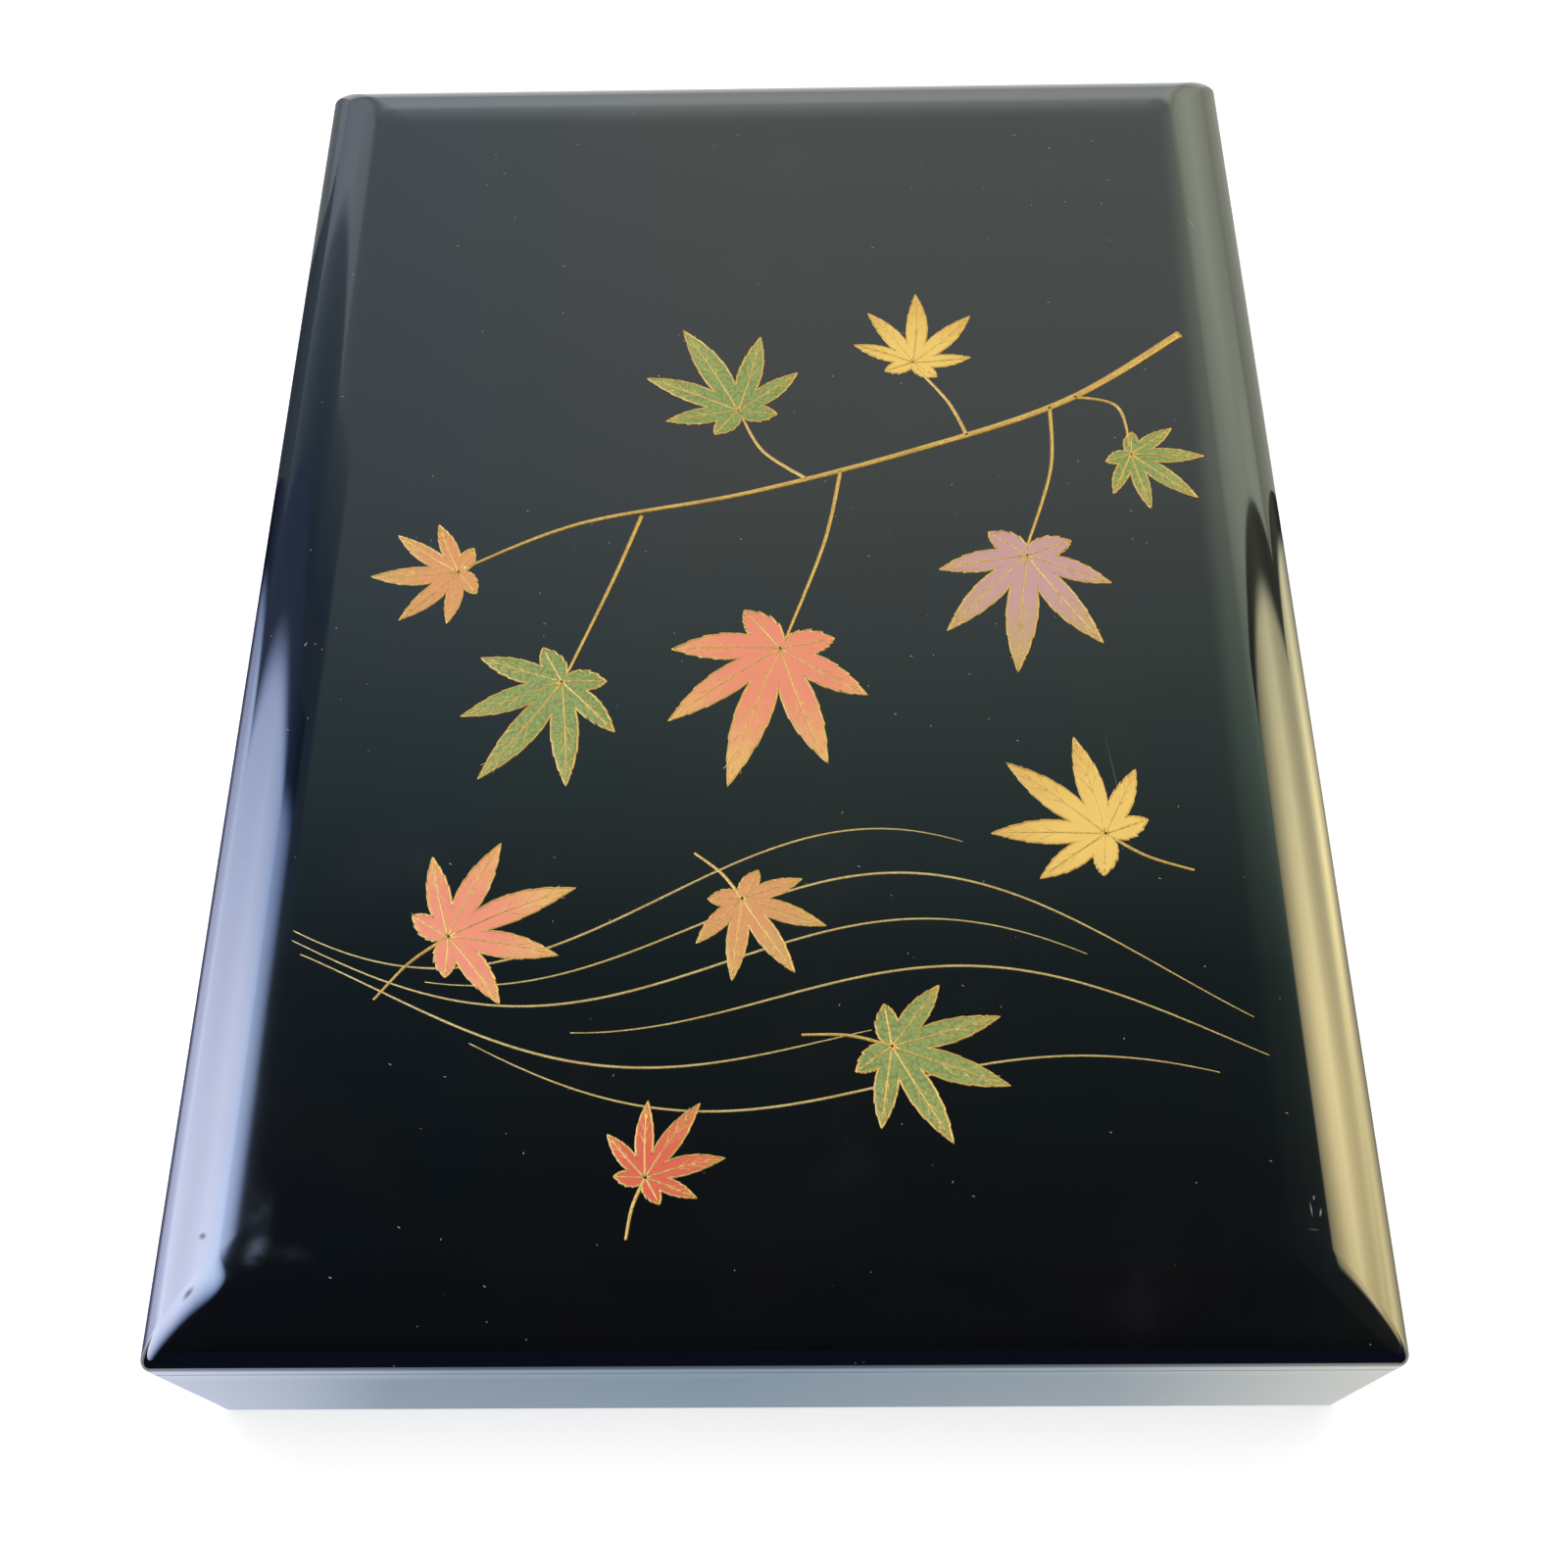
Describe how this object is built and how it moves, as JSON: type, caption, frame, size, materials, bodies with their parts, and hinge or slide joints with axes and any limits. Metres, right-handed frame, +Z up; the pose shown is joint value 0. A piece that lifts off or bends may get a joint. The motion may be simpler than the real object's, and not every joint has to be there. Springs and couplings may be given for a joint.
{
  "type": "lacquer letter box",
  "caption": "Flat black lacquer box for letters and papers, with flush sides and a round-shouldered lid that lifts off a raised inner rim.",
  "frame": {"origin": "middle of the footprint, on the surface that the box stands on", "axes": "+Z up, +Y along the length towards the back, +X to the right as seen from the front"},
  "size_m": [0.24, 0.335, 0.065],
  "materials": {
    "outer_lacquer": "wood under deep gloss black lacquer, with fine handling scratches",
    "inner_lacquer": "wood under satin black lacquer",
    "bare_wood": "plain planed wood, glued in and out of sight",
    "gold_design": "gold powder set in lacquer, in fine raised lines",
    "colour_design": "coloured lacquer and gold powder, slightly raised"
  },
  "bodies": {
    "box": {"box_front_wall": "outer_lacquer", "box_right_wall": "outer_lacquer", "box_back_wall": "outer_lacquer", "box_left_wall": "outer_lacquer", "box_bottom_board": "inner_lacquer", "rim_front_strip": "inner_lacquer", "rim_right_strip": "inner_lacquer", "rim_back_strip": "inner_lacquer", "rim_left_strip": "inner_lacquer", "box_tongue_front_left": "bare_wood", "box_tongue_front_right": "bare_wood", "box_tongue_back_right": "bare_wood", "box_tongue_back_left": "bare_wood"},
    "lid": {"lid_front_rail": "outer_lacquer", "lid_right_rail": "outer_lacquer", "lid_back_rail": "outer_lacquer", "lid_left_rail": "outer_lacquer", "lid_top_panel": "outer_lacquer", "lid_tongue_front_left": "bare_wood", "lid_tongue_front_right": "bare_wood", "lid_tongue_back_right": "bare_wood", "lid_tongue_back_left": "bare_wood"}
  },
  "joints": [
    {"name": "lid_lift", "type": "slide", "parent": "box", "child": "lid", "axis": [0, 0, 1], "range_m": [0, 0.12]}
  ]
}
